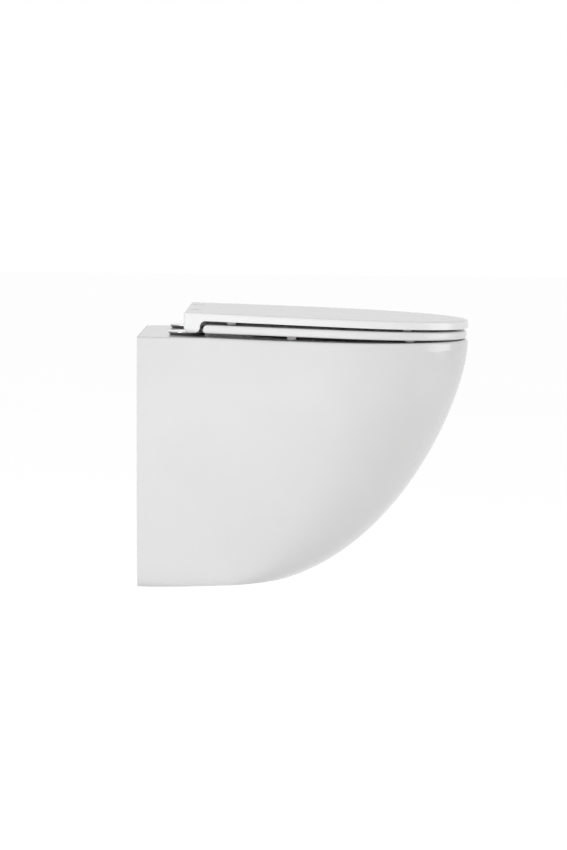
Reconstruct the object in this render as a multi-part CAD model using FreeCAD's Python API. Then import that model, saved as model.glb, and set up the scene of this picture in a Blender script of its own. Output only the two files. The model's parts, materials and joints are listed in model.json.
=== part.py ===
"""Compact wall hung toilet: ceramic pan, soft close seat and lid, hinges and wall fixings.

Frame: the origin is midway between the two wall studs, on the wall face.
+X runs along the wall, +Y into the wall, +Z up, so the pan stands out along -Y.
All lengths are in millimetres.
"""

import FreeCAD, Part
import math
import os

V = FreeCAD.Vector

# ---- ceramic pan, outside ----
PAN_LENGTH = 500.0          # wall face to the nose of the rim
PAN_WIDTH = 356.0           # widest, across the bowl
PAN_BACK_WIDTH = 308.0      # at the wall, at deck height
PAN_FOOT_WIDTH = 240.0      # widest, at the underside
PAN_FOOT_BACK_WIDTH = 206.0  # at the wall, at the underside
DECK_Z = 75.0               # deck above the wall studs
UNDERSIDE_Z = -308.0        # underside below the wall studs, at the wall
UNDERSIDE_RISE = 9.0        # the underside climbs this much over the length of the foot
FOOT_LENGTH = 169.0         # flat stretch of the underside, from the wall
NOSE_Z = 56.0               # the front starts to curve in below this height
FRONT_POWER = 2.0           # the front's side view is a superellipse with these two powers
FALL_POWER = 1.44
FRONT_SHARE = 0.39          # share of a section's length that its half ellipse front takes
FOOT_ROUND = 16.0           # soft edge between flank and underside
RIM_ROUND = 4.0             # edge between flank and deck
DECK_LENGTH = 105.0         # level stretch of the top, from the wall
RIM_FALL = 6.3              # the rim drops this much from the deck to the nose

# ---- ceramic pan, inside ----
SKIN = 12.0                 # outer wall
DECK_THICKNESS = 14.0
BACK_THICKNESS = 18.0       # web that the studs pass through
BOWL_SKIN = 11.0
WALL_JOIN = 1.5             # the bowl's wall reaches this far into the deck
BOWL_BACK_Y = -149.0        # rear lip of the bowl opening
BOWL_FRONT_GAP = 37.0       # rim width at the nose
BOWL_SIDE_GAP = 45.0        # rim width at the widest place
BOWL_LIP = 6.0              # round between rim and bowl
BOWL_NECK = 30.0            # upright stretch below the deck's level
# course of the bowl below that: shares of the way down to the sump, and of the width and length
BOWL_COURSE = ((0.0, 1.0), (0.14, 0.99), (0.3, 0.94), (0.46, 0.84), (0.62, 0.69),
               (0.76, 0.52), (0.88, 0.35), (0.96, 0.2), (1.0, 0.0))
SUMP_Y = -232.0
SUMP_Z = -246.0
SUMP_R = 25.0
TRAP_SKIN = 9.0
# course of the water trap: shares of the way from the sump to the spigot along Y, along Z and in
# radius, and the angle that it climbs at
TRAP_COURSE = (
    (-0.03, 0.22, 0.0, 0.0),
    (0.19, 0.20, 0.19, 8.0),
    (0.38, 0.31, 0.38, 42.0),
    (0.52, 0.56, 0.50, 56.0),
    (0.65, 0.81, 0.69, 42.0),
    (0.82, 0.97, 0.88, 12.0),
    (0.99, 1.00, 1.00, 0.0),
)
BACK_WINDOW_HALF = 78.0     # open part of the back, either side of the outlet
BACK_WINDOW_TOP = -45.0
BACK_WINDOW_BOTTOM = -266.0
ACCESS_HALF = 68.0          # opening in the underside that a spanner reaches through
ACCESS_BACK_Y = -32.0
ACCESS_FRONT_Y = -118.0
OPENING_ROUND = 14.0        # corners of these two openings

# ---- connections ----
STUD_SPACING = 180.0
STUD_HOLE_R = 6.5           # bore of the sleeve for an M12 stud
STUD_NUT_R = 6.0            # bore of the nut
INLET_Z = 35.0
INLET_R = 27.5
INLET_LENGTH = 55.0
INLET_SKIN = 10.5
FLUSH_R = 20.0              # channel from the inlet to the bowl
OUTLET_Z = -100.0
OUTLET_R = 51.0             # outside of the spigot
OUTLET_BORE_R = 43.0
SPIGOT_LENGTH = 42.0

# ---- wall fixings ----
SLEEVE_WALL = 4.5
SLEEVE_FLANGE_R = 17.0
SLEEVE_FLANGE_THICKNESS = 3.0
FIT_GAP = 0.1               # between still pieces that sit in each other
WASHER_R = 15.0
WASHER_THICKNESS = 2.5
NUT_ACROSS_FLATS = 19.0
NUT_HEIGHT = 10.0
CAP_WALL = 1.6
CAP_ROOM = 14.0             # stud end that the cap leaves room for

# ---- seat ring ----
SEAT_NOSE_INSET = 2.0       # nose of the ring behind the nose of the rim
SEAT_SIDE_INSET = 3.0       # widest place of the ring inside the flank
SEAT_BACK_SPREAD = 8.0      # rear edge of the ring, wider than the pan is at the wall
SEAT_BACK_Y = -97.0
SEAT_CORNER = 7.0
SEAT_GAP_BACK = 6.4         # above the deck at the rear edge
SEAT_GAP_FRONT = 1.0        # above the rim at the nose
SEAT_BOW = 0.8              # underside of ring and lid: rise of the middle over the straight line
SEAT_THICKNESS = 12.4
SEAT_EDGE = 3.6
SEAT_HOLE_EDGE = 4.5
SEAT_HOLE_BACK_Y = -168.0
SEAT_HOLE_FRONT_Y = -438.0
SEAT_HOLE_WIDTH = 216.0

# ---- lid ----
LID_NOSE_PROUD = 2.0        # nose of the lid past the ring
LID_SIDE_PROUD = 0.5        # widest place of the lid past the ring
LID_BACK_TAPER = 2.0        # rear edge of the lid, narrower than the ring's
LID_BACK_Y = -69.0
LID_CORNER = 7.0
LID_GAP_BACK = 5.8          # above the seat ring at its rear edge
LID_GAP_FRONT = 3.6         # above the seat ring at the nose
LID_EDGE_BACK = 12.2        # height of the edge at the rear
LID_EDGE_FRONT = 12.6       # height of the edge at the nose
LID_EDGE = 3.6
LID_CROWN = 0.3             # rise of the top in the middle
LID_PLATE = 5.5             # plate over the recess in the underside
LID_BORDER = 16.0           # width of the edge round that recess
SKIRT_GAP = 6.4             # skirt above the deck
SKIRT_LENGTH = 24.0         # the skirt, front to back
SKIRT_ROUND = 9.0
COVE_ROUND = 9.0            # hollow round between skirt and underside
RELIEF_ROUND = 9.0          # top of the ring's rear edge, below that
RUN_OUT = 15.0              # degrees at either end where these two rounds run out straight

# ---- hinges ----
HINGE_SPACING = 155.0
DISC_Y = -75.0              # stud holes in the deck
DISC_OFFSET = 15.0          # the stud hole of a disc lies this far from its middle
DISC_TURN_LEFT = 9.0        # degrees that a disc was turned by hand to line up the seat
DISC_TURN_RIGHT = 27.0
DISC_TOP_R = 30.2
DISC_FOOT_R = 27.2
DISC_THICKNESS = 5.2
DISC_EDGE = 1.2
GASKET_THICKNESS = 1.0
HINGE_HOLE_R = 8.0
AXIS_Y = -81.0
AXIS_HEIGHT = 25.0          # hinge axis above the deck
PIN_R = 3.0
RUNNING_GAP = 0.05          # radial, between the pins and what turns on them
PRESS_GAP = 0.01            # radial, round bushes and dampers in their bores
BUSH_WALL = 1.5
POST_WIDTH = 12.0
BARREL_R = 11.5
SIDE_GAP = 0.6              # along the axis, between knuckles
SLOT_GAP = 1.0              # round the barrel, in the lid
DISC_ROOM = 3.0             # between a disc and the full skirt beside it
KNUCKLE_R = 16.0            # skirt over the discs
KNUCKLE_WIDTH = 22.0
EAR_R = 8.0
EAR_WIDTH = 20.0
EAR_ROOM = 0.5
EAR_DROP = 12.0             # underside of the ear's arm below the axis
EAR_ROOT = 8.0              # the arm runs this far into the ring
EAR_STEP = 0.5              # the arm's top below the ring's
EAR_SWEEP = 7.0             # room in front of the cove for the arms
STUD_TOP_R = 4.5
STUD_TOP_LENGTH = 9.0
STUD_R = 4.0
STUD_LENGTH = 58.0
PLUG_LENGTH = 30.0
PLUG_R = 10.0
SLEEVE_NUT_R = 7.0
SLEEVE_NUT_LENGTH = 12.0
DAMPER_R = 6.0
DAMPER_LENGTH = 30.0
DAMPER_SOCKET = 8.0         # depth that a pin's end reaches into a damper
DAMPER_STOP = 2.0           # end of the ear past the seat damper

# ---- bumpers ----
BUMPER_LENGTH = 15.0
BUMPER_WIDTH = 9.0
BUMPER_TAPER = 1.6
BUMPER_SET = 0.1            # bumpers stop this far above what they rest on
SEAT_BUMPER_YS = (-229.0, -405.0)
LID_BUMPER_YS = (-140.0, -401.0)
SEAT_BUMPER_INSET = 19.0    # centre of a bumper, in from the edge of the ring
LID_BUMPER_INSET = 21.0

SECTION_STEPS = 12          # points along each half of a D section's front
FLANK_STEPS = 5
SKIN_LEVELS = 11
BACK_SPARE = 8.0            # sections run on this far past the back, which is then cut flat

# ---- worked out from the sizes above ----
AXIS_Z = DECK_Z + AXIS_HEIGHT
SEAT_LENGTH = PAN_LENGTH - SEAT_NOSE_INSET
SEAT_WIDTH = PAN_WIDTH - 2 * SEAT_SIDE_INSET
SEAT_BACK_WIDTH = PAN_BACK_WIDTH + SEAT_BACK_SPREAD
LID_LENGTH = SEAT_LENGTH + LID_NOSE_PROUD
LID_WIDTH = SEAT_WIDTH + 2 * LID_SIDE_PROUD
LID_BACK_WIDTH = SEAT_BACK_WIDTH - LID_BACK_TAPER
LEFT, RIGHT = -1, 1


# ---------------------------------------------------------------- basic shapes
def cylinder(radius, start, direction, length):
    return Part.makeCylinder(radius, length, start, direction)


def tube(outer, inner, start, direction, length):
    return cylinder(outer, start, direction, length).cut(cylinder(inner, start, direction, length))


def box(low, high):
    size = high - low
    return Part.makeBox(size.x, size.y, size.z, low)


def rounded_box(low, high, radius, along):
    """A box whose four edges along one direction are rounded."""
    block = box(low, high)
    edges = [e for e in block.Edges if abs(abs(e.tangentAt(e.FirstParameter).dot(along)) - 1) < 1e-6]
    return block.makeFillet(radius, edges)


def side_prism(points, half_width):
    """A solid with this outline in the YZ plane, centred on X = 0."""
    corners = [V(-half_width, y, z) for y, z in points]
    face = Part.Face(Part.makePolygon(corners + corners[:1]))
    return face.extrude(V(2 * half_width, 0, 0))


def both_sides(make):
    return Part.makeCompound([make(LEFT), make(RIGHT)])


# ---------------------------------------------------------------- D shaped plan
def half_width_at(y, length, half, back_half, back_y, front_run):
    """Half the width of a D shaped plan: a half ellipse at the front, flanks that close in to the back."""
    widest_y = front_run - length
    if y < widest_y:
        return half * math.sqrt(max(0.0, 1 - ((widest_y - y) / front_run) ** 2))
    return half - (half - back_half) * ((y - widest_y) / (back_y - widest_y)) ** 2


def d_points(length, half, back_half, back_y, front_run, spare):
    """Points from the back on the +X side round the nose to the back on the -X side."""
    widest_y = front_run - length
    right = []
    for i in range(FLANK_STEPS):
        y = back_y + spare + (widest_y - back_y - spare) * i / FLANK_STEPS
        right.append((half_width_at(y, length, half, back_half, back_y, front_run), y))
    for i in range(SECTION_STEPS):
        angle = 0.5 * math.pi * i / SECTION_STEPS
        right.append((half * math.cos(angle), widest_y - front_run * math.sin(angle)))
    return right + [(0.0, -length)] + [(-x, y) for x, y in reversed(right)]


def d_wire(z, length, half, back_half, back_y, front_run, spare=0.0):
    """The plan's outline at one height. It can run on past its back by a spare length."""
    points = [V(x, y, z) for x, y in d_points(length, half, back_half, back_y, front_run, spare)]
    curve = Part.BSplineCurve()
    curve.interpolate(points)
    return Part.Wire([curve.toShape(), Part.makeLine(points[-1], points[0])])


def d_prism(low_z, high_z, length, half, back_half, back_y, front_run, spare=0.0):
    wire = d_wire(low_z, length, half, back_half, back_y, front_run, spare)
    return Part.Face(wire).extrude(V(0, 0, high_z - low_z))


# ---------------------------------------------------------------- ceramic pan
def rim_z(y):
    """Height of the rim: level over the deck, then a slight fall that is level again at the nose."""
    run = min(1.0, max(0.0, -y - DECK_LENGTH) / (PAN_LENGTH - DECK_LENGTH))
    return DECK_Z - RIM_FALL * (1 - (1 - run) ** 2)


def foot_inset(z, low_z):
    """Extra inset near the underside, which rounds the edge there."""
    above = min(z - low_z, FOOT_ROUND)
    return FOOT_ROUND - math.sqrt(max(0.0, FOOT_ROUND ** 2 - (FOOT_ROUND - above) ** 2))


def skin_solid(inset, low_z, top_z, back_y):
    """The pan's outer form, drawn in by an inset, as a loft of level D sections."""
    wires = []
    for i in range(SKIN_LEVELS + 1):
        angle = 0.5 * math.pi * i / SKIN_LEVELS
        z = NOSE_Z - (NOSE_Z - low_z) * math.sin(angle) ** (2 / FALL_POWER)
        length = FOOT_LENGTH + (PAN_LENGTH - inset - FOOT_LENGTH) * math.cos(angle) ** (2 / FRONT_POWER)
        share = (NOSE_Z - z) / (NOSE_Z - low_z)
        edge = inset + foot_inset(z, low_z)
        half = 0.5 * (PAN_WIDTH + (PAN_FOOT_WIDTH - PAN_WIDTH) * share ** 1.5) - edge
        back_half = 0.5 * (PAN_BACK_WIDTH + (PAN_FOOT_BACK_WIDTH - PAN_BACK_WIDTH) * share ** 1.5) - edge
        wires.append(d_wire(z, length, half, back_half, back_y, FRONT_SHARE * length, BACK_SPARE))
    body = Part.makeLoft(wires, True, False)
    collar = d_prism(
        NOSE_Z, top_z, PAN_LENGTH - inset, 0.5 * PAN_WIDTH - inset, 0.5 * PAN_BACK_WIDTH - inset,
        back_y, FRONT_SHARE * (PAN_LENGTH - inset), BACK_SPARE,
    )
    behind = box(V(-PAN_WIDTH, back_y, low_z - 10), V(PAN_WIDTH, back_y + 2 * BACK_SPARE, top_z + 10))
    return body.fuse(collar).removeSplitter().cut(behind)


def above_rim():
    """What is cut off above the rim: level at the deck, then a shallow arc down to the nose."""
    reach = PAN_LENGTH + 20.0
    top = DECK_Z + 40.0
    middle_y = -0.5 * (DECK_LENGTH + PAN_LENGTH)
    side = 0.5 * PAN_WIDTH + 20.0
    start, end = V(-side, -DECK_LENGTH, DECK_Z), V(-side, -PAN_LENGTH, rim_z(-PAN_LENGTH))
    far = V(-side, -reach, end.z)
    edges = [
        Part.makeLine(V(-side, 20, DECK_Z), start),
        Part.Arc(start, V(-side, middle_y, rim_z(middle_y)), end).toShape(),
        Part.makeLine(end, far),
        Part.makeLine(far, V(-side, -reach, top)),
        Part.makeLine(V(-side, -reach, top), V(-side, 20, top)),
        Part.makeLine(V(-side, 20, top), V(-side, 20, DECK_Z)),
    ]
    return Part.Face(Part.Wire(edges)).extrude(V(2 * side, 0, 0))


def below_underside():
    """What is cut off below the slightly rising underside."""
    reach = PAN_LENGTH
    rise = UNDERSIDE_RISE * reach / FOOT_LENGTH
    return side_prism(
        [(20, UNDERSIDE_Z - 40), (20, UNDERSIDE_Z), (0, UNDERSIDE_Z),
         (-reach, UNDERSIDE_Z + rise), (-reach, UNDERSIDE_Z - 40)],
        0.5 * PAN_WIDTH,
    )


def outer_form():
    """The solid outer form with its rounded rim and the bowl's opening, not yet hollow."""
    form = skin_solid(0.0, UNDERSIDE_Z, DECK_Z + 10.0, 0.0)
    form = form.cut(above_rim()).cut(below_underside())
    form = form.makeFillet(RIM_ROUND, [e for e in form.Edges if is_rim_edge(e)])
    form = form.cut(bowl_solid(0.0, DECK_Z + 20.0))
    return form.makeFillet(BOWL_LIP, lip_edges(form))


def is_rim_edge(edge):
    """Edges round the top, without the one along the wall."""
    middle = edge.valueAt(0.5 * (edge.FirstParameter + edge.LastParameter))
    on_top = all(abs(v.Point.z - rim_z(v.Point.y)) < 0.5 for v in edge.Vertexes)
    return on_top and middle.y < -1.0 and abs(middle.z - rim_z(middle.y)) < 0.5 and abs(middle.x) > 1.0


def ellipse_wire(y, z, half_length, half_width):
    """A level ellipse, longer along Y or along X as its two halves say."""
    if half_length >= half_width:
        curve = Part.Ellipse(V(0, y + half_length, z), V(half_width, y, z), V(0, y, z))
    else:
        curve = Part.Ellipse(V(half_width, y, z), V(0, y + half_length, z), V(0, y, z))
    return Part.Wire([curve.toShape()])


def bowl_stations():
    """(height, centre y, half length, half width) of the bowl, from the rim to the sump."""
    front_y = BOWL_FRONT_GAP - PAN_LENGTH
    rim_y = 0.5 * (BOWL_BACK_Y + front_y)
    rim_half_length = 0.5 * (BOWL_BACK_Y - front_y)
    rim_half_width = 0.5 * PAN_WIDTH - BOWL_SIDE_GAP
    stations = []
    neck_z = DECK_Z - BOWL_NECK
    for share, swell in BOWL_COURSE:
        z = neck_z - share * (neck_z - SUMP_Z)
        stations.append((
            z,
            SUMP_Y + (rim_y - SUMP_Y) * swell,
            SUMP_R + (rim_half_length - SUMP_R) * swell,
            SUMP_R + (rim_half_width - SUMP_R) * swell,
        ))
    return stations


def bowl_solid(grow, top_z):
    """The bowl's hollow, or with a grow the outside of its wall."""
    stations = bowl_stations()
    wires = [ellipse_wire(y, z, a + grow, b + grow) for z, y, a, b in stations[:-1]]
    z, y, a, b = stations[-1]
    wires.append(ellipse_wire(y, z - grow, a + grow, b + grow))
    bowl = Part.makeLoft(wires, True, False)
    z, y, a, b = stations[0]
    neck = Part.Face(ellipse_wire(y, z, a + grow, b + grow)).extrude(V(0, 0, top_z - z))
    return bowl.fuse(neck)


def trap_solid(grow, end_y):
    """The water trap from the sump over its weir to the outlet, or the outside of its wall."""
    first_r = SUMP_R + 2.0
    path = []
    for along, up, widen, climb in TRAP_COURSE:
        path.append((
            SUMP_Y + along * (-SPIGOT_LENGTH - SUMP_Y),
            SUMP_Z + up * (OUTLET_Z - SUMP_Z),
            first_r + widen * (OUTLET_BORE_R - first_r),
            climb,
        ))
    path.append((end_y, OUTLET_Z, OUTLET_BORE_R, 0.0))
    wires = []
    for y, z, radius, climb in path:
        turn = math.radians(climb)
        circle = Part.Circle(V(0, y, z), V(0, math.cos(turn), math.sin(turn)), radius + grow)
        wires.append(Part.Wire([circle.toShape()]))
    return Part.makeLoft(wires, True, False)


def outlet_spigot():
    return cylinder(OUTLET_R, V(0, -SPIGOT_LENGTH - 1.0, OUTLET_Z), V(0, 1, 0), SPIGOT_LENGTH + 1.0)


def flush_way(grow):
    """The flush inlet and its channel to the back of the bowl."""
    reach = -BOWL_BACK_Y + 12.0
    inlet = cylinder(INLET_R + grow, V(0, -INLET_LENGTH - grow, INLET_Z), V(0, 1, 0), INLET_LENGTH + grow)
    return inlet.fuse(cylinder(FLUSH_R + grow, V(0, -reach, INLET_Z), V(0, 1, 0), reach - 1.0))


def pan_hollow():
    """The space between the outer wall, the deck and the web at the back."""
    low_z = UNDERSIDE_Z + UNDERSIDE_RISE + SKIN
    return skin_solid(SKIN, low_z, DECK_Z - DECK_THICKNESS, -BACK_THICKNESS)


def pan_openings():
    """The window in the back and the opening in the underside."""
    window = rounded_box(
        V(-BACK_WINDOW_HALF, -BACK_THICKNESS - 2, BACK_WINDOW_BOTTOM),
        V(BACK_WINDOW_HALF, 2, BACK_WINDOW_TOP),
        OPENING_ROUND, V(0, 1, 0),
    )
    floor_z = UNDERSIDE_Z + UNDERSIDE_RISE + SKIN
    access = rounded_box(
        V(-ACCESS_HALF, ACCESS_FRONT_Y, UNDERSIDE_Z - 2), V(ACCESS_HALF, ACCESS_BACK_Y, floor_z + 14),
        OPENING_ROUND, V(0, 0, 1),
    )
    return window.fuse(access)


def stud_hole_radius():
    return STUD_HOLE_R + SLEEVE_WALL + FIT_GAP


def lip_edges(form):
    """Edges where the bowl meets the rim: their middles lie on the bowl's ellipse."""
    centre_y, half_length, half_width = bowl_stations()[0][1:]
    found = []
    for edge in level_edges(form, rim_z):
        point = edge.valueAt(0.5 * (edge.FirstParameter + edge.LastParameter))
        reach = (point.x / half_width) ** 2 + ((point.y - centre_y) / half_length) ** 2
        if abs(reach - 1.0) < 0.05:
            found.append(edge)
    return found


def ceramic_pan():
    pan = outer_form().cut(pan_hollow()).cut(pan_openings())
    inner_walls = [
        bowl_solid(BOWL_SKIN, DECK_Z - DECK_THICKNESS + WALL_JOIN),
        trap_solid(TRAP_SKIN, -SPIGOT_LENGTH),
        outlet_spigot(),
        flush_way(INLET_SKIN),
    ]
    pan = pan.fuse(inner_walls)
    pan = pan.cut(bowl_solid(0.0, DECK_Z + 20.0))
    pan = pan.cut(trap_solid(0.0, 2.0)).cut(flush_way(0.0))
    for side in (LEFT, RIGHT):
        stud_x = side * 0.5 * STUD_SPACING
        pan = pan.cut(cylinder(stud_hole_radius(), V(stud_x, 5, 0), V(0, -1, 0), BACK_THICKNESS + 10))
        hinge_top = V(hinge_x(side), DISC_Y, DECK_Z + 5)
        pan = pan.cut(cylinder(HINGE_HOLE_R, hinge_top, V(0, 0, -1), DECK_THICKNESS + 10))
    return pan.removeSplitter()


# ---------------------------------------------------------------- wall fixings
def wall_sleeve(side):
    """A plastic sleeve that lines a stud hole, with a flange on the inside of the web."""
    start = V(side * 0.5 * STUD_SPACING, 0, 0)
    flange_start = start + V(0, -BACK_THICKNESS, 0)
    body = cylinder(STUD_HOLE_R + SLEEVE_WALL, start, V(0, -1, 0), BACK_THICKNESS)
    flange = cylinder(SLEEVE_FLANGE_R, flange_start, V(0, -1, 0), SLEEVE_FLANGE_THICKNESS)
    length = BACK_THICKNESS + SLEEVE_FLANGE_THICKNESS
    return body.fuse(flange).cut(cylinder(STUD_HOLE_R, start, V(0, -1, 0), length)).removeSplitter()


def fixing_y(stage):
    """Where the sleeve flange, the washer and the nut end: stages 0, 1 and 2."""
    ends = (SLEEVE_FLANGE_THICKNESS, WASHER_THICKNESS, NUT_HEIGHT)
    return -BACK_THICKNESS - sum(ends[: stage + 1])


def wall_washer(side):
    start = V(side * 0.5 * STUD_SPACING, fixing_y(0), 0)
    return tube(WASHER_R, STUD_HOLE_R, start, V(0, -1, 0), WASHER_THICKNESS)


def hexagon(across_flats, centre, length):
    """A six sided prism that runs from its centre along -Y."""
    radius = across_flats / math.sqrt(3)
    corners = []
    for i in range(7):
        angle = math.radians(60 * i)
        corners.append(centre + V(radius * math.cos(angle), 0, radius * math.sin(angle)))
    return Part.Face(Part.makePolygon(corners)).extrude(V(0, -length, 0))


def wall_nut(side):
    start = V(side * 0.5 * STUD_SPACING, fixing_y(1), 0)
    nut = hexagon(NUT_ACROSS_FLATS, start, NUT_HEIGHT)
    return nut.cut(cylinder(STUD_NUT_R, start, V(0, -1, 0), NUT_HEIGHT))


def nut_cap(side):
    """A cover that pushes over the nut and the end of the stud."""
    start = V(side * 0.5 * STUD_SPACING, fixing_y(1), 0)
    inner_r = NUT_ACROSS_FLATS / math.sqrt(3) + FIT_GAP
    depth = NUT_HEIGHT + CAP_ROOM
    outside = cylinder(inner_r + CAP_WALL, start, V(0, -1, 0), depth + CAP_WALL)
    outside = outside.makeFillet(CAP_WALL, [outside.Edges[0]])
    return outside.cut(cylinder(inner_r, start, V(0, -1, 0), depth))


# ---------------------------------------------------------------- hinge mounts
def hinge_x(side):
    return side * 0.5 * HINGE_SPACING


def disc_top_z():
    return DECK_Z + GASKET_THICKNESS + DISC_THICKNESS


def disc_centre(side, height):
    """Middle of a disc, which is off its stud hole."""
    turn = math.radians(DISC_TURN_RIGHT if side == RIGHT else DISC_TURN_LEFT)
    x = hinge_x(side) + side * DISC_OFFSET * math.cos(turn)
    return V(x, DISC_Y + DISC_OFFSET * math.sin(turn), height)


def stud_bore(side, low_z, length):
    return cylinder(STUD_R + FIT_GAP, V(hinge_x(side), DISC_Y, low_z), V(0, 0, 1), length)


def hinge_gasket(side):
    pad = cylinder(DISC_FOOT_R - 1.0, disc_centre(side, DECK_Z), V(0, 0, 1), GASKET_THICKNESS)
    return pad.cut(stud_bore(side, DECK_Z, GASKET_THICKNESS))


def hinge_disc(side):
    """A chromed saucer, wider at its top, with a hole for the stud."""
    start = disc_centre(side, DECK_Z + GASKET_THICKNESS)
    disc = Part.makeCone(DISC_FOOT_R, DISC_TOP_R, DISC_THICKNESS, start)
    rim = [e for e in disc.Edges if e.Closed and e.Curve.Center.z > start.z + 1]
    disc = disc.makeFillet(DISC_EDGE, rim)
    return disc.cut(stud_bore(side, start.z, DISC_THICKNESS))


def hinge_stud(side):
    """A threaded stud with a round head that the post slides onto."""
    top = V(hinge_x(side), DISC_Y, disc_top_z())
    head = cylinder(STUD_TOP_R, top, V(0, 0, 1), STUD_TOP_LENGTH)
    head = head.makeChamfer(0.8, [e for e in head.Edges if e.Closed and e.Curve.Center.z > top.z + 1])
    return head.fuse(cylinder(STUD_R, top, V(0, 0, -1), STUD_LENGTH)).removeSplitter()


def expansion_plug(side):
    """A rubber plug that lines the hole in the deck and swells below it."""
    below_deck = V(hinge_x(side), DISC_Y, DECK_Z - DECK_THICKNESS)
    neck = cylinder(HINGE_HOLE_R - FIT_GAP, below_deck, V(0, 0, 1), DECK_THICKNESS)
    swell = Part.makeCone(PLUG_R, HINGE_HOLE_R, PLUG_LENGTH, below_deck, V(0, 0, -1))
    bore = cylinder(STUD_R + FIT_GAP, V(hinge_x(side), DISC_Y, DECK_Z), V(0, 0, -1), STUD_LENGTH)
    return neck.fuse(swell).cut(bore)


def sleeve_nut(side):
    top = V(hinge_x(side), DISC_Y, DECK_Z - DECK_THICKNESS - PLUG_LENGTH)
    return tube(SLEEVE_NUT_R, STUD_R + 0.5 * FIT_GAP, top, V(0, 0, -1), SLEEVE_NUT_LENGTH)


def hinge_post(side):
    """A post that clips onto the stud and holds the hinge pin in its barrel."""
    x = hinge_x(side) - 0.5 * POST_WIDTH
    foot_z = disc_top_z()
    barrel = cylinder(BARREL_R, V(x, AXIS_Y, AXIS_Z), V(1, 0, 0), POST_WIDTH)
    column = box(V(x, AXIS_Y - BARREL_R, foot_z), V(x + POST_WIDTH, AXIS_Y + BARREL_R, AXIS_Z))
    post = barrel.fuse(column).removeSplitter()
    head_room = cylinder(STUD_TOP_R + FIT_GAP, V(hinge_x(side), DISC_Y, foot_z), V(0, 0, 1),
                         STUD_TOP_LENGTH + FIT_GAP)
    pin_bore = cylinder(PIN_R + 0.5 * RUNNING_GAP, V(x - 1, AXIS_Y, AXIS_Z), V(1, 0, 0), POST_WIDTH + 2)
    return post.cut(head_room).cut(pin_bore)


# ---------------------------------------------------------------- hinge line, from the middle outwards
def ear_span(side):
    """(inner, outer) distance of a seat ear from the middle. The right one also holds the seat damper."""
    outer = 0.5 * HINGE_SPACING - 0.5 * POST_WIDTH - SIDE_GAP
    inner = outer - EAR_WIDTH
    return (inner - DAMPER_LENGTH if side == RIGHT else inner), outer


def knuckle_span():
    """(inner, outer) distance of the bored stretch of the lid's skirt from the middle."""
    inner = 0.5 * HINGE_SPACING + 0.5 * POST_WIDTH + SIDE_GAP
    return inner, inner + KNUCKLE_WIDTH


def pin_span(side):
    """The left pin reaches into the lid damper, the right one into the seat damper."""
    inner = ear_span(LEFT)[0]
    outer = knuckle_span()[1]
    if side == RIGHT:
        return inner - DAMPER_SOCKET, outer - 1.0
    return inner + 1.0, outer + DAMPER_SOCKET


def along_axis(side, radius, inner, outer):
    """A cylinder on the hinge axis between two distances from the middle."""
    start = V(inner, AXIS_Y, AXIS_Z) if side == RIGHT else V(-outer, AXIS_Y, AXIS_Z)
    return cylinder(radius, start, V(1, 0, 0), outer - inner)


def hinge_pin(side):
    return along_axis(side, PIN_R, *pin_span(side))


def bush(side, inner, outer):
    sleeve = along_axis(side, PIN_R + RUNNING_GAP + BUSH_WALL, inner, outer)
    return sleeve.cut(along_axis(side, PIN_R + RUNNING_GAP, inner, outer))


def seat_bush(side):
    return bush(side, ear_span(LEFT)[0], ear_span(LEFT)[1])


def lid_bush(side):
    return bush(side, *knuckle_span())


def damper(side, inner, outer, socket_inner, socket_outer):
    return along_axis(side, DAMPER_R, inner, outer).cut(
        along_axis(side, PIN_R + RUNNING_GAP, socket_inner, socket_outer))


def seat_damper():
    inner, outer = ear_span(RIGHT)[0] + DAMPER_STOP, ear_span(LEFT)[0]
    return damper(RIGHT, inner, outer, outer - DAMPER_SOCKET - 0.5, outer)


def lid_damper():
    inner = knuckle_span()[1]
    return damper(LEFT, inner, inner + DAMPER_LENGTH, inner, inner + DAMPER_SOCKET + 0.5)


# ---------------------------------------------------------------- seat and lid
def bowed(y, back, front):
    """Height between the rear edge of the ring and its nose, with a slight rise in the middle."""
    share = (SEAT_BACK_Y - y) / (SEAT_BACK_Y + SEAT_LENGTH)
    return back + (front - back) * share + 4 * SEAT_BOW * share * (1 - share)


def seat_bottom_z(y):
    return bowed(y, DECK_Z + SEAT_GAP_BACK, rim_z(-PAN_LENGTH) + SEAT_GAP_FRONT)


def seat_top_z(y):
    return seat_bottom_z(y) + SEAT_THICKNESS


def lid_bottom_z(y):
    return bowed(y, seat_top_z(SEAT_BACK_Y) + LID_GAP_BACK, seat_top_z(-SEAT_LENGTH) + LID_GAP_FRONT)


def lid_top_z(y):
    """Top of the lid, from its rear edge to the nose, with a very slight crown."""
    share = (LID_BACK_Y - y) / (LID_BACK_Y + LID_LENGTH)
    back = lid_bottom_z(LID_BACK_Y) + LID_EDGE_BACK
    front = lid_bottom_z(-LID_LENGTH) + LID_EDGE_FRONT
    return back + (front - back) * share + 4 * LID_CROWN * share * (1 - share)


def seat_half_width(y):
    front_run = FRONT_SHARE * SEAT_LENGTH
    return half_width_at(y, SEAT_LENGTH, 0.5 * SEAT_WIDTH, 0.5 * SEAT_BACK_WIDTH, SEAT_BACK_Y, front_run)


def lid_half_width(y):
    front_run = FRONT_SHARE * LID_LENGTH
    return half_width_at(y, LID_LENGTH, 0.5 * LID_WIDTH, 0.5 * LID_BACK_WIDTH, LID_BACK_Y, front_run)


def upright_edges(shape, y):
    """The two upright edges at the rear corners of a plate."""
    return [e for e in shape.Edges if all(abs(v.Point.y - y) < 0.01 for v in e.Vertexes)
            and abs(e.Vertexes[0].Point.x - e.Vertexes[-1].Point.x) < 0.01]


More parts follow.
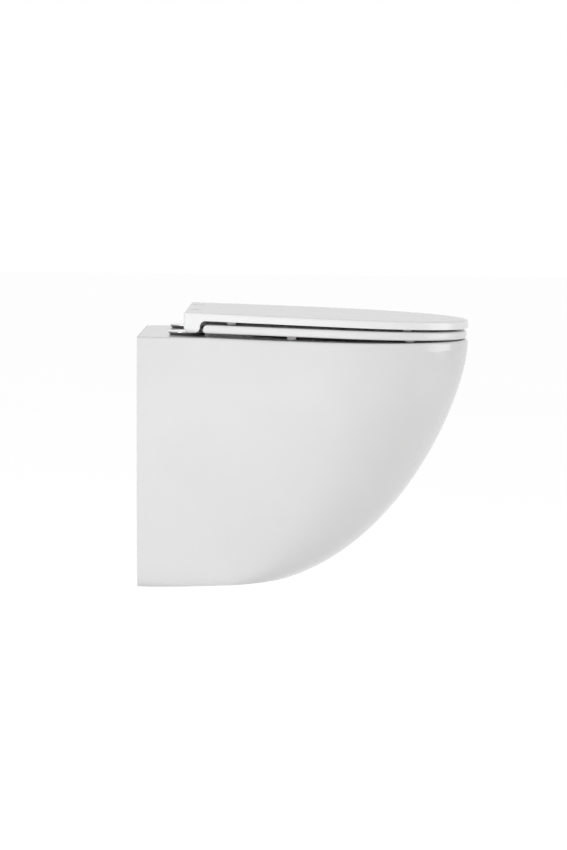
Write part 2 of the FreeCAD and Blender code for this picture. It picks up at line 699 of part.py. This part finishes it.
def profile_edge(x, start_y, end_y, height):
    """A straight or gently arched edge that follows a height given as a function of y."""
    ends = [V(x, y, height(y)) for y in (start_y, end_y)]
    middle_y = 0.5 * (start_y + end_y)
    middle = V(x, middle_y, height(middle_y))
    if abs(middle.z - 0.5 * (ends[0].z + ends[1].z)) < 0.01:
        return Part.makeLine(*ends)
    return Part.Arc(ends[0], middle, ends[1]).toShape()


def cornered_prism(length, width, back_width, back_y, corner, low, high):
    """An upright D shaped block with its two rear corners rounded."""
    prism = d_prism(low, high, length, 0.5 * width, 0.5 * back_width, back_y, FRONT_SHARE * length)
    return prism.makeFillet(corner, upright_edges(prism, back_y))


def plate(length, width, back_width, back_y, corner, bottom, top):
    """A D shaped plate between two heights that are given as functions of y."""
    low, high = bottom(-length) - 30, top(back_y) + 30
    prism = cornered_prism(length, width, back_width, back_y, corner, low, high)
    near, far = back_y + 20, -length - 20
    side = 0.5 * width + 20
    edges = [
        profile_edge(-side, near, far, bottom),
        Part.makeLine(V(-side, far, bottom(far)), V(-side, far, top(far))),
        profile_edge(-side, far, near, top),
        Part.makeLine(V(-side, near, top(near)), V(-side, near, bottom(near))),
    ]
    return prism.common(Part.Face(Part.Wire(edges)).extrude(V(2 * side, 0, 0)))


def level_edges(shape, height):
    """Edges that lie at this height, given as a function of y."""
    found = []
    for edge in shape.Edges:
        points = [edge.valueAt(edge.FirstParameter + (edge.LastParameter - edge.FirstParameter) * t)
                  for t in (0.0, 0.5, 1.0)]
        if all(abs(p.z - height(p.y)) < 1.0 for p in points):
            found.append(edge)
    return found


def seat_hole():
    """The oval opening of the ring."""
    centre_y = 0.5 * (SEAT_HOLE_BACK_Y + SEAT_HOLE_FRONT_Y)
    half_length = 0.5 * (SEAT_HOLE_BACK_Y - SEAT_HOLE_FRONT_Y)
    low, high = DECK_Z - 20, DECK_Z + 60
    outline = ellipse_wire(centre_y, low, half_length, 0.5 * SEAT_HOLE_WIDTH)
    return Part.Face(outline).extrude(V(0, 0, high - low))


def seat_ear(side):
    """A bored ear with an arm that joins the rear edge of the ring."""
    inner, outer = ear_span(side)
    barrel = along_axis(side, EAR_R, inner, outer)
    low_x, high_x = sorted((side * inner, side * outer))
    top = seat_top_z(SEAT_BACK_Y) - EAR_STEP
    arm = box(V(low_x, SEAT_BACK_Y - EAR_ROOT, AXIS_Z - EAR_DROP), V(high_x, AXIS_Y, top))
    return barrel.fuse(arm)


def beyond_round(centre_y, centre_z, radius):
    """A bar along X that fills what lies behind and above a quarter round, and a little past its ends."""
    points = []
    low, high = RUN_OUT, 90.0 - RUN_OUT
    for angle, along in ((low, 1.0), (low, 0.0), (45.0, 0.0), (high, 0.0), (high, -1.0)):
        turn = math.radians(angle)
        y = centre_y + radius * (math.cos(turn) + along * math.sin(turn))
        z = centre_z + radius * (math.sin(turn) - along * math.cos(turn))
        points.append(V(-LID_WIDTH, y, z))
    start, arc_start, arc_middle, arc_end, end = points
    corner = V(-LID_WIDTH, start.y, end.z)
    edges = [
        Part.makeLine(start, arc_start),
        Part.Arc(arc_start, arc_middle, arc_end).toShape(),
        Part.makeLine(arc_end, end),
        Part.makeLine(end, corner),
        Part.makeLine(corner, start),
    ]
    return Part.Face(Part.Wire(edges)).extrude(V(2 * LID_WIDTH, 0, 0))


def seat_rear_relief():
    """Rounds off the ring's rear edge under the cove of the lid."""
    return beyond_round(SEAT_BACK_Y - RELIEF_ROUND, seat_top_z(SEAT_BACK_Y) - RELIEF_ROUND, RELIEF_ROUND)


def seat_ring():
    ring = plate(SEAT_LENGTH, SEAT_WIDTH, SEAT_BACK_WIDTH, SEAT_BACK_Y, SEAT_CORNER,
                 seat_bottom_z, seat_top_z)
    ring = ring.makeFillet(SEAT_EDGE, level_edges(ring, seat_top_z) + level_edges(ring, seat_bottom_z))
    ring = ring.cut(seat_rear_relief())
    ring = ring.cut(seat_hole())
    hole_top = [e for e in level_edges(ring, seat_top_z) if e.Closed]
    ring = ring.makeFillet(SEAT_HOLE_EDGE, hole_top)
    for side in (LEFT, RIGHT):
        ring = ring.fuse(seat_ear(side))
        ring = ring.cut(along_axis(side, PIN_R + RUNNING_GAP + BUSH_WALL + PRESS_GAP, *ear_span(LEFT)))
    inner, outer = ear_span(RIGHT)[0] + DAMPER_STOP, ear_span(LEFT)[0]
    ring = ring.cut(along_axis(RIGHT, DAMPER_R + PRESS_GAP, inner, outer))
    return ring.removeSplitter()


def lid_recess():
    """The shallow hollow in the lid's underside, inside its edge."""
    back_y = LID_BACK_Y - SKIRT_LENGTH - LID_BORDER
    return plate(
        LID_LENGTH - LID_BORDER, LID_WIDTH - 2 * LID_BORDER, LID_BACK_WIDTH - 2 * LID_BORDER,
        back_y, LID_CORNER, lambda y: lid_bottom_z(y) - 10, lambda y: lid_top_z(y) - LID_PLATE,
    )


def lid_skirt():
    """The lid turned down at the rear, over the hinge line."""
    low = DECK_Z + SKIRT_GAP
    front = LID_BACK_Y - SKIRT_LENGTH
    block = plate(LID_LENGTH, LID_WIDTH, LID_BACK_WIDTH, LID_BACK_Y, LID_CORNER,
                  lambda y: low, lambda y: lid_bottom_z(y) + LID_EDGE)
    block = block.common(box(V(-LID_WIDTH, front, low), V(LID_WIDTH, LID_BACK_Y + 1, low + 60)))
    lowest = [e for e in block.Edges if abs(e.CenterOfMass.z - low) < 0.01]
    block = block.makeFillet(SKIRT_ROUND, [e for e in lowest if e.BoundBox.XLength > LID_WIDTH / 2])
    zone_inner, zone_outer = hinge_zone()
    for side in (LEFT, RIGHT):
        zone = along_axis(side, 60.0, zone_inner, zone_outer)
        inside = along_axis(side, KNUCKLE_R, zone_inner, zone_outer)
        roof = box(V(-LID_WIDTH, front - 20, AXIS_Z), V(LID_WIDTH, LID_BACK_Y + 20, AXIS_Z + 60))
        block = block.cut(zone.cut(inside).cut(roof))
    return block


def lid_cove():
    """The hollow round between the front of the skirt and the lid's underside."""
    front = LID_BACK_Y - SKIRT_LENGTH
    underside = lid_bottom_z(front)
    filler = beyond_round(front - COVE_ROUND, underside - COVE_ROUND, COVE_ROUND)
    return filler.common(cornered_prism(
        LID_LENGTH, LID_WIDTH, LID_BACK_WIDTH, LID_BACK_Y, LID_CORNER,
        underside - 2 * COVE_ROUND, underside + COVE_ROUND,
    ))


def hinge_zone():
    """(inner, outer) distance from the middle where the skirt has to clear a disc."""
    reach = DISC_TOP_R + DISC_ROOM
    return 0.5 * HINGE_SPACING - reach, 0.5 * HINGE_SPACING + DISC_OFFSET + reach


def lid_slots(side):
    """Room in the lid for the post, and room under it for the seat's ear."""
    post_low = hinge_x(side) - 0.5 * POST_WIDTH - SIDE_GAP
    post_high = hinge_x(side) + 0.5 * POST_WIDTH + SIDE_GAP
    front = AXIS_Y - BARREL_R - SLOT_GAP
    behind = LID_BACK_Y + 5
    post_slot = box(V(post_low, front, DECK_Z), V(post_high, behind, DECK_Z + 60))
    inner, outer = ear_span(side)
    ear_low, ear_high = sorted((side * (inner - SIDE_GAP), side * (outer + SIDE_GAP)))
    ear_front = LID_BACK_Y - SKIRT_LENGTH - COVE_ROUND - EAR_SWEEP
    ear_slot = box(V(ear_low, ear_front, DECK_Z), V(ear_high, behind, AXIS_Z + EAR_R + EAR_ROOM))
    return post_slot.fuse(ear_slot)


def lid():
    cover = plate(LID_LENGTH, LID_WIDTH, LID_BACK_WIDTH, LID_BACK_Y, LID_CORNER, lid_bottom_z, lid_top_z)
    cover = cover.makeFillet(LID_EDGE, level_edges(cover, lid_top_z))
    cover = cover.cut(lid_recess())
    cover = cover.fuse([lid_skirt(), lid_cove()])
    for side in (LEFT, RIGHT):
        cover = cover.cut(lid_slots(side))
        cover = cover.cut(along_axis(side, PIN_R + RUNNING_GAP + BUSH_WALL + PRESS_GAP, *knuckle_span()))
    outer = knuckle_span()[1]
    return cover.cut(along_axis(LEFT, DAMPER_R + PRESS_GAP, outer, outer + DAMPER_LENGTH + 0.5))


# ---------------------------------------------------------------- bumpers
def level_rectangle(x, y, z, width, length):
    corner = V(x - 0.5 * width, y - 0.5 * length, z)
    return Part.makePlane(width, length, corner).OuterWire


def bumper(x, y, bottom_z, top_z):
    """A pad that narrows downwards, square to the plan."""
    low = level_rectangle(x, y, bottom_z, BUMPER_WIDTH - 2 * BUMPER_TAPER, BUMPER_LENGTH - 2 * BUMPER_TAPER)
    high = level_rectangle(x, y, top_z, BUMPER_WIDTH, BUMPER_LENGTH)
    return Part.makeLoft([low, high], True, True)


def bumper_group(ys, half_width, inset, floor_z, ceiling):
    """Bumpers on both sides, cut off flush with the face that carries them."""
    pads = []
    for y in ys:
        for side in (LEFT, RIGHT):
            x = side * (half_width(y) - inset)
            low = max(floor_z(y - 0.5 * BUMPER_LENGTH), floor_z(y + 0.5 * BUMPER_LENGTH)) + BUMPER_SET
            pads.append(bumper(x, y, low, ceiling(y) + 4).cut(block_above(y, ceiling)))
    return Part.makeCompound(pads)


def block_above(y, height):
    """A block that rests on a sloping face, given as a function of y, around one place."""
    back, front = y + BUMPER_LENGTH, y - BUMPER_LENGTH
    top = height(y) + 30
    return side_prism([(back, height(back)), (front, height(front)), (front, top), (back, top)], PAN_WIDTH)


def seat_bumpers():
    return bumper_group(SEAT_BUMPER_YS, seat_half_width, SEAT_BUMPER_INSET, rim_z, seat_bottom_z)


def lid_bumpers():
    return bumper_group(LID_BUMPER_YS, lid_half_width, LID_BUMPER_INSET, seat_top_z, lid_bottom_z)


# ---------------------------------------------------------------- all pieces
def build():
    return {
        "ceramic_pan": ceramic_pan(),
        "wall_sleeves": both_sides(wall_sleeve),
        "wall_washers": both_sides(wall_washer),
        "wall_nuts": both_sides(wall_nut),
        "nut_caps": both_sides(nut_cap),
        "hinge_gaskets": both_sides(hinge_gasket),
        "hinge_disc_left": hinge_disc(LEFT),
        "hinge_disc_right": hinge_disc(RIGHT),
        "hinge_studs": both_sides(hinge_stud),
        "expansion_plugs": both_sides(expansion_plug),
        "sleeve_nuts": both_sides(sleeve_nut),
        "hinge_post_left": hinge_post(LEFT),
        "hinge_post_right": hinge_post(RIGHT),
        "hinge_pin_left": hinge_pin(LEFT),
        "hinge_pin_right": hinge_pin(RIGHT),
        "seat_ring": seat_ring(),
        "seat_bushes": both_sides(seat_bush),
        "seat_damper": seat_damper(),
        "seat_bumpers": seat_bumpers(),
        "lid": lid(),
        "lid_bushes": both_sides(lid_bush),
        "lid_damper": lid_damper(),
        "lid_bumpers": lid_bumpers(),
    }


def main():
    os.makedirs("parts", exist_ok=True)
    for name, shape in build().items():
        shape.exportStep("parts/" + name + ".step")
        print(name, len(shape.Solids), shape.isValid(), round(shape.Volume / 1000.0, 2), "cm3")


main()
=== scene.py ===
"""Looks of a compact wall hung toilet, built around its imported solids.

Frame: origin midway between the wall studs on the wall face, +X along the wall, +Y into the wall, +Z up.
All lengths are in metres.
"""

import json
import math

import bmesh
import bpy
from mathutils import Matrix, Vector


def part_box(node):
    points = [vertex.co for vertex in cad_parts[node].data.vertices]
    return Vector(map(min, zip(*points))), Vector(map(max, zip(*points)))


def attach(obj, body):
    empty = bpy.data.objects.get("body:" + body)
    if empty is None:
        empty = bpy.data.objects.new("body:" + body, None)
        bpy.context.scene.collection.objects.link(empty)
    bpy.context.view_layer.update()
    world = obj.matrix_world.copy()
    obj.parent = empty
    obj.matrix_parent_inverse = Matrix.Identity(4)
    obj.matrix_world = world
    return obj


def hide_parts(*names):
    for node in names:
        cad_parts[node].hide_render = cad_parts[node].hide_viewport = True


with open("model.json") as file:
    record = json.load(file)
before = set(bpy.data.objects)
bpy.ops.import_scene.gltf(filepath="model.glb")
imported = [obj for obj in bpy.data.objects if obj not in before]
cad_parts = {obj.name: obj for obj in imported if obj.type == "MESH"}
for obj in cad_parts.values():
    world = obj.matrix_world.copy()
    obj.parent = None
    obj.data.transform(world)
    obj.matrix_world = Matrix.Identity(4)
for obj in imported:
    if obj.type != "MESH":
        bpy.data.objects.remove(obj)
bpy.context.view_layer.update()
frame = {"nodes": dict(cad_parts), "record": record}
nodes = frame["nodes"]

# ---- photograph's camera ----
CAMERA_PLACE = Vector((-4.2, -0.2185, 0.3194))
CAMERA_PITCH = 0.092        # radians below the horizon
CAMERA_ROLL = 0.0113        # radians; the picture's content turns clockwise
FOCAL_PIXELS = 2735.9
PICTURE_HEIGHT = 850
SENSOR_SIDE = 36.0
CLIP_NEAR = 0.1
CLIP_FAR = 200.0

# ---- indices of refraction ----
GLAZE_IOR = 1.52
POLISHED_PLASTIC_IOR = 1.5
MOULDED_PLASTIC_IOR = 1.49

# ---- ceramic ----
BARE_DEPTH = 0.0009         # the wall face and this much in front of it are not glazed
BARE_WAVER = 0.0006         # how far the glaze's edge wanders
BARE_ROUGHNESS = 0.6        # what bare biscuit adds to the glaze's roughness

# ---- hinge discs: painted shade and painted dark reflection on the plating's lower part, fading out between these shares of their height ----
DISC_PAINTED_SHADE_SHARE = 0.45
DISC_PAINTED_SHADE_END_SHARE = 0.75

# ---- pads under ring and lid ----
PAD_ROUND = 0.0024          # radius of a pad's lower edge
PAD_ROUND_STEPS = 6
PAD_WELD = 0.00001
PAD_DOWNWARD = 0.8          # a face of a pad's underside looks down at least this much
PAD_FLAT_ANGLE = math.radians(2.0)
PAD_SHARP_ANGLE = math.radians(40.0)

# ---- studio ----
FLOOR_Z = -0.95
FLOOR_REACH = 30.0
AIM = Vector((0.0, -0.25, 0.0))
WORLD_LIGHT = 0.43          # what the surroundings give to matt surfaces
FLOOR_LIFT = 0.64           # makes the pale floor as white as the surroundings where it is seen directly


# ---------------------------------------------------------------- shader recipes
def fill(tree, socket, value):
    """Links a socket to another one, or sets its value."""
    if isinstance(value, bpy.types.NodeSocket):
        tree.links.new(value, socket)
    else:
        socket.default_value = value


class Recipe:
    """One material and the shader nodes that make it."""

    def __init__(self, name):
        self.material = bpy.data.materials.new(name)
        self.material.use_nodes = True
        self.tree = self.material.node_tree
        self.tree.nodes.clear()
        self.where = self.node("ShaderNodeTexCoord").outputs["Object"]

    def node(self, kind, inputs=None, **settings):
        made = self.tree.nodes.new(kind)
        for key, value in settings.items():
            setattr(made, key, value)
        for socket, value in (inputs or {}).items():
            fill(self.tree, made.inputs[socket], value)
        return made

    def noise(self, scale, detail=3.0, roughness=0.5, where=None):
        """Cloudy values about 0.5; the scale is in waves per metre."""
        inputs = {"Vector": where or self.where, "Scale": scale, "Detail": detail, "Roughness": roughness}
        return self.node("ShaderNodeTexNoise", inputs).outputs["Fac"]

    def stretched(self, scale):
        """The object's own coordinates, scaled apart along X, Y and Z."""
        made = self.node("ShaderNodeMapping", {"Vector": self.where, "Scale": scale})
        return made.outputs["Vector"]

    def ramp(self, value, low, high, from_low=0.0, from_high=1.0):
        """The value carried over from one range to another, held at its ends."""
        inputs = {"Value": value, "From Min": from_low, "From Max": from_high, "To Min": low, "To Max": high}
        return self.node("ShaderNodeMapRange", inputs).outputs["Result"]

    def mix(self, share, first, second):
        """A colour between two colours."""
        made = self.node("ShaderNodeMix", data_type="RGBA")
        for socket, value in zip((made.inputs[0], made.inputs[6], made.inputs[7]), (share, first, second)):
            fill(self.tree, socket, (*value, 1.0) if isinstance(value, tuple) else value)
        return made.outputs[2]

    def math(self, operation, first, second):
        made = self.node("ShaderNodeMath", operation=operation)
        for socket, value in zip(made.inputs, (first, second)):
            fill(self.tree, socket, value)
        return made.outputs[0]

    def bump(self, height, distance, strength, below=None):
        """Relief of the given depth in metres, laid over another relief if there is one below."""
        inputs = {"Height": height, "Distance": distance, "Strength": strength}
        if below:
            inputs["Normal"] = below
        return self.node("ShaderNodeBump", inputs).outputs["Normal"]

    def place(self, axis):
        """One coordinate of the point, in metres."""
        return self.node("ShaderNodeSeparateXYZ", {"Vector": self.where}).outputs[axis]

    def finish(self, **inputs):
        """The surface shader; names of sockets are given with _ for each space."""
        sockets = {name.replace("_", " "): value for name, value in inputs.items()}
        shader = self.node("ShaderNodeBsdfPrincipled", sockets)
        self.node("ShaderNodeOutputMaterial", {"Surface": shader.outputs[0]})
        return self.material


def grey(value, warmth=0.0):
    return (value + warmth, value, value - warmth)


def glazed_ceramic():
    """White glaze, with bare biscuit where the body meets the wall."""
    r = Recipe("ceramic_glaze")
    pool = r.noise(scale=9.0, detail=2.0)
    body = r.mix(r.ramp(pool, 0.0, 1.0, 0.35, 0.65), grey(0.745), grey(0.73, 0.001))
    edge = r.ramp(r.noise(scale=160.0), -BARE_WAVER, BARE_WAVER)
    bare = r.math("GREATER_THAN", r.math("ADD", r.place("Y"), edge), -BARE_DEPTH)
    speck = r.ramp(r.noise(scale=900.0, detail=4.0, roughness=0.7), 0.0, 1.0, 0.3, 0.7)
    biscuit = r.mix(speck, (0.70, 0.685, 0.65), (0.76, 0.75, 0.725))
    gloss = r.ramp(r.noise(scale=60.0, detail=4.0), 0.17, 0.21)
    rough = r.math("ADD", gloss, r.math("MULTIPLY", bare, BARE_ROUGHNESS))
    wave = r.bump(r.noise(scale=26.0, detail=1.0), distance=0.0006, strength=0.35)
    peel = r.bump(r.noise(scale=700.0, detail=2.0), distance=0.00002, strength=0.3, below=wave)
    return r.finish(Base_Color=r.mix(bare, body, biscuit), Roughness=rough, Normal=peel, IOR=GLAZE_IOR)


def gloss_plastic(name, tone):
    """Pressed thermoset plastic, polished, with the faint flow of the press."""
    r = Recipe(name)
    flow = r.noise(scale=7.0, detail=3.0, roughness=0.6, where=r.stretched((1.0, 0.35, 1.0)))
    colour = r.mix(r.ramp(flow, 0.0, 1.0, 0.3, 0.7), grey(tone), grey(tone - 0.012))
    rough = r.ramp(r.noise(scale=90.0, detail=4.0), 0.22, 0.28)
    wave = r.bump(r.noise(scale=55.0, detail=1.0), distance=0.0002, strength=0.3)
    peel = r.bump(r.noise(scale=1500.0, detail=2.0), distance=0.00001, strength=0.25, below=wave)
    return r.finish(Base_Color=colour, Roughness=rough, Normal=peel, IOR=POLISHED_PLASTIC_IOR)


def moulded_plastic(name, tone, warmth=0.0, rough=(0.35, 0.5), grain=2600.0, depth=0.00004):
    """Injection moulded plastic with a fine eroded grain."""
    r = Recipe(name)
    cloud = r.noise(scale=30.0)
    colour = r.mix(r.ramp(cloud, 0.0, 1.0, 0.3, 0.7), grey(tone, warmth), grey(tone * 0.94, warmth))
    roughness = r.ramp(r.noise(scale=240.0), *rough)
    skin = r.bump(r.noise(scale=grain, roughness=0.6), distance=depth, strength=0.6)
    return r.finish(Base_Color=colour, Roughness=roughness, Normal=skin, IOR=MOULDED_PLASTIC_IOR)


def chrome():
    """Polished plating with painted shade: the colour is darkened below the rolled rim in place of the dark
    reflections and shade there; with faint hazing and hairline wiping marks.
    """
    r = Recipe("chrome_plate")
    haze = r.noise(scale=120.0)
    tint = r.mix(r.ramp(haze, 0.0, 1.0, 0.3, 0.7), (0.55, 0.556, 0.56), (0.59, 0.594, 0.596))
    low, high = (corner[2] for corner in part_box("hinge_disc_left"))
    painted_shade_full_z = low + DISC_PAINTED_SHADE_SHARE * (high - low)
    painted_shade_end_z = low + DISC_PAINTED_SHADE_END_SHARE * (high - low)
    # painted shade and painted dark reflection: below the rim the plating's colour turns dark grey, fading
    # out higher up
    base = r.mix(r.ramp(r.place("Z"), 1.0, 0.0, painted_shade_full_z, painted_shade_end_z), tint, (0.16, 0.163, 0.167))
    hair = r.noise(scale=90.0, detail=6.0, roughness=0.75, where=r.stretched((1.0, 14.0, 1.0)))
    rough = r.math("ADD", r.ramp(haze, 0.03, 0.07), r.ramp(hair, 0.0, 0.05, 0.55, 0.75))
    return r.finish(Base_Color=base, Metallic=1.0, Roughness=rough)


def turned_metal(name, light, dark, axis_scale, rough=(0.2, 0.38)):
    """Metal with the fine rings that a lathe leaves, across the given direction."""
    r = Recipe(name)
    rings = r.noise(scale=60.0, detail=5.0, roughness=0.7, where=r.stretched(axis_scale))
    stain = r.noise(scale=70.0)
    base = r.mix(r.ramp(stain, 0.0, 1.0, 0.3, 0.7), light, dark)
    relief = r.bump(rings, distance=0.00002, strength=0.5)
    return r.finish(Base_Color=base, Metallic=1.0, Roughness=r.ramp(rings, *rough), Normal=relief)


def zinc_plate():
    """Dull plated steel with a crystalline spangle."""
    r = Recipe("zinc_plate")
    cells = r.node("ShaderNodeTexVoronoi", {"Vector": r.where, "Scale": 420.0}).outputs["Color"]
    spangle = r.node("ShaderNodeSeparateColor", {"Color": cells}).outputs[0]
    base = r.mix(spangle, (0.55, 0.56, 0.57), (0.66, 0.665, 0.67))
    rough = r.math("ADD", r.ramp(spangle, 0.26, 0.4), r.ramp(r.noise(scale=900.0), -0.05, 0.05))
    relief = r.bump(r.noise(scale=1400.0), distance=0.00003, strength=0.4)
    return r.finish(Base_Color=base, Metallic=1.0, Roughness=rough, Normal=relief)


def rubber(name, tone, rough=(0.55, 0.75), through=0.0):
    """Moulded rubber, matt, with a soft grain; some light may pass through."""
    r = Recipe(name)
    bloom = r.noise(scale=140.0, detail=4.0, roughness=0.6)
    base = r.mix(r.ramp(bloom, 0.0, 1.0, 0.35, 0.7), grey(tone), grey(tone * 1.12, 0.004))
    skin = r.bump(r.noise(scale=1800.0), distance=0.00005, strength=0.6)
    return r.finish(
        Base_Color=base, Roughness=r.ramp(r.noise(scale=300.0), *rough), Normal=skin,
        Subsurface_Weight=through, Subsurface_Radius=(0.004, 0.004, 0.004), Subsurface_Scale=1.0,
    )


FINISHES = {
    "glazed_ceramic": glazed_ceramic(),
    # painted shade: the ring's white is a darker tone than the lid's, in place of the shade the ring lies in
    # under the lid
    "seat_white": gloss_plastic("seat_gloss_painted_shade", 0.80),
    "lid_white": gloss_plastic("lid_gloss", 0.87),
    "hinge_white": moulded_plastic("hinge_satin", 0.72, rough=(0.22, 0.32), grain=1900.0, depth=0.00001),
    "hinge_chrome": chrome(),
    "pin_steel": turned_metal("pin_ground", (0.60, 0.60, 0.61), (0.54, 0.545, 0.55), (60.0, 1.0, 1.0)),
    "stud_steel": turned_metal("stud_plated", (0.62, 0.62, 0.60), (0.55, 0.555, 0.55), (1.0, 1.0, 50.0)),
    "brass": turned_metal("brass_turned", (0.78, 0.62, 0.33), (0.68, 0.52, 0.26), (1.0, 1.0, 40.0)),
    "bumper_pale": rubber("bumper_rubber", 0.50, rough=(0.4, 0.55), through=0.35),
    "black_rubber": rubber("plug_rubber", 0.025),
    "damper_grey": moulded_plastic("damper_plastic", 0.11, rough=(0.4, 0.55)),
    "bush_white": moulded_plastic("bush_plastic", 0.70, warmth=0.006),
    "fixing_plastic": moulded_plastic("fixing_plastic_skin", 0.66, warmth=0.01, rough=(0.38, 0.55)),
    "zinc_steel": zinc_plate(),
}


def dress_cad_nodes():
    """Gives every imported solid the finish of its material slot."""
    for row in frame["record"]["subparts"]:
        for slot in nodes[row["node"]].material_slots:
            slot.material = FINISHES[row["material_slot"]]


# ---------------------------------------------------------------- rounded pads
def rounded_pads(node_name, body):
    """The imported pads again, with the soft rounded underside of pressed rubber."""
    form = bmesh.new()
    form.from_mesh(nodes[node_name].data)
    bmesh.ops.remove_doubles(form, verts=form.verts, dist=PAD_WELD)
    bmesh.ops.dissolve_limit(form, angle_limit=PAD_FLAT_ANGLE, verts=form.verts, edges=form.edges)
    form.normal_update()
    landing = {face for face in form.faces if face.normal.z < -PAD_DOWNWARD}
    rim = [edge for edge in form.edges if len(landing.intersection(edge.link_faces)) == 1]
    bmesh.ops.bevel(form, geom=rim, offset=PAD_ROUND, offset_type="OFFSET", segments=PAD_ROUND_STEPS,
                    profile=0.5, affect="EDGES", clamp_overlap=True)
    mesh = bpy.data.meshes.new(node_name + "_rounded")
    form.to_mesh(mesh)
    form.free()
    mesh.shade_smooth()
    mesh.set_sharp_from_angle(angle=PAD_SHARP_ANGLE)
    mesh.materials.append(FINISHES["bumper_pale"])
    piece = bpy.data.objects.new(node_name + "_rounded", mesh)
    bpy.context.scene.collection.objects.link(piece)
    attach(piece, body)
    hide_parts(node_name)


# ---------------------------------------------------------------- studio
def set_camera():
    """The photograph's viewpoint, looking along +X with the front of the toilet to the right."""
    forward = Vector((math.cos(CAMERA_PITCH), 0.0, -math.sin(CAMERA_PITCH)))
    level_right = Vector((0.0, -1.0, 0.0))
    level_up = level_right.cross(forward)
    right = level_right * math.cos(CAMERA_ROLL) + level_up * math.sin(CAMERA_ROLL)
    up = right.cross(forward)
    data = bpy.data.cameras.new("camera")
    data.sensor_width = SENSOR_SIDE
    data.lens = FOCAL_PIXELS / PICTURE_HEIGHT * SENSOR_SIDE
    data.clip_start = CLIP_NEAR
    data.clip_end = CLIP_FAR
    camera = bpy.data.objects.new("camera", data)
    turn = Matrix((right, up, -forward)).transposed().to_4x4()
    camera.matrix_world = Matrix.Translation(CAMERA_PLACE) @ turn
    bpy.context.scene.collection.objects.link(camera)
    bpy.context.scene.camera = camera


def seen_directly(tree):
    """1 for camera, mirror and glass rays, which see plain white; 0 for the light on the object."""
    path = tree.nodes.new("ShaderNodeLightPath")
    total = path.outputs["Is Camera Ray"]
    for name in ("Is Glossy Ray", "Is Transmission Ray"):
        made = tree.nodes.new("ShaderNodeMath")
        made.operation = "MAXIMUM"
        tree.links.new(total, made.inputs[0])
        tree.links.new(path.outputs[name], made.inputs[1])
        total = made.outputs[0]
    return total


def set_world():
    """White where it is seen or mirrored, and a soft even light on everything else."""
    world = bpy.data.worlds.new("studio")
    world.use_nodes = True
    tree = world.node_tree
    tree.nodes.clear()
    background = tree.nodes.new("ShaderNodeBackground")
    strength = tree.nodes.new("ShaderNodeMapRange")
    tree.links.new(seen_directly(tree), strength.inputs["Value"])
    strength.inputs["To Min"].default_value = WORLD_LIGHT
    strength.inputs["To Max"].default_value = 1.0
    tree.links.new(strength.outputs["Result"], background.inputs["Strength"])
    background.inputs["Color"].default_value = (1.0, 1.0, 1.0, 1.0)
    output = tree.nodes.new("ShaderNodeOutputWorld")
    tree.links.new(background.outputs[0], output.inputs["Surface"])
    bpy.context.scene.world = world


def floor_material():
    """Pale and matt from above; from below it lets the view through."""
    r = Recipe("floor_pale")
    cloud = r.ramp(r.noise(scale=0.6), 0.0, 1.0, 0.3, 0.7)
    shader = r.node("ShaderNodeBsdfPrincipled", {
        "Base Color": r.mix(cloud, grey(0.80), grey(0.79)), "Roughness": 0.9,
        "Emission Color": (1.0, 1.0, 1.0, 1.0), "Specular IOR Level": 0.0,
        "Emission Strength": r.ramp(seen_directly(r.tree), 0.0, FLOOR_LIFT),
    })
    clear = r.node("ShaderNodeBsdfTransparent")
    behind = r.node("ShaderNodeNewGeometry").outputs["Backfacing"]
    both = r.node("ShaderNodeMixShader", {0: behind, 1: shader.outputs[0], 2: clear.outputs[0]})
    r.node("ShaderNodeOutputMaterial", {"Surface": both.outputs[0]})
    return r.material


def set_floor():
    """A wide floor that keeps the object's shadow."""
    mesh = bpy.data.meshes.new("floor")
    signs = ((-1, -1), (1, -1), (1, 1), (-1, 1))
    mesh.from_pydata([(x * FLOOR_REACH, y * FLOOR_REACH, FLOOR_Z) for x, y in signs], [], [(0, 1, 2, 3)])
    mesh.materials.append(floor_material())
    floor = bpy.data.objects.new("floor", mesh)
    bpy.context.scene.collection.objects.link(floor)


def soft_lamp(name, place, size, power, mirrored=True):
    """A round softbox that faces the toilet; it can be left out of mirrors."""
    data = bpy.data.lights.new(name, "AREA")
    data.shape = "DISK"
    data.size = size
    data.energy = power
    lamp = bpy.data.objects.new(name, data)
    place = Vector(place)
    turn = (AIM - place).to_track_quat("-Z", "Y").to_matrix().to_4x4()
    lamp.matrix_world = Matrix.Translation(place) @ turn
    bpy.context.scene.collection.objects.link(lamp)
    lamp.visible_camera = False
    lamp.visible_glossy = mirrored


def set_lamps():
    soft_lamp("left", place=(-2.6, 2.6, 1.5), size=2.2, power=42.0)
    soft_lamp("beside_camera", place=(-4.3, 0.3, 0.0), size=1.7, power=60.0, mirrored=False)
    soft_lamp("front", place=(0.2, -3.9, 0.6), size=2.4, power=38.0)


dress_cad_nodes()
rounded_pads("seat_bumpers", "seat")
rounded_pads("lid_bumpers", "lid")
set_camera()
set_world()
set_floor()
set_lamps()
bpy.context.scene.view_settings.view_transform = "Standard"
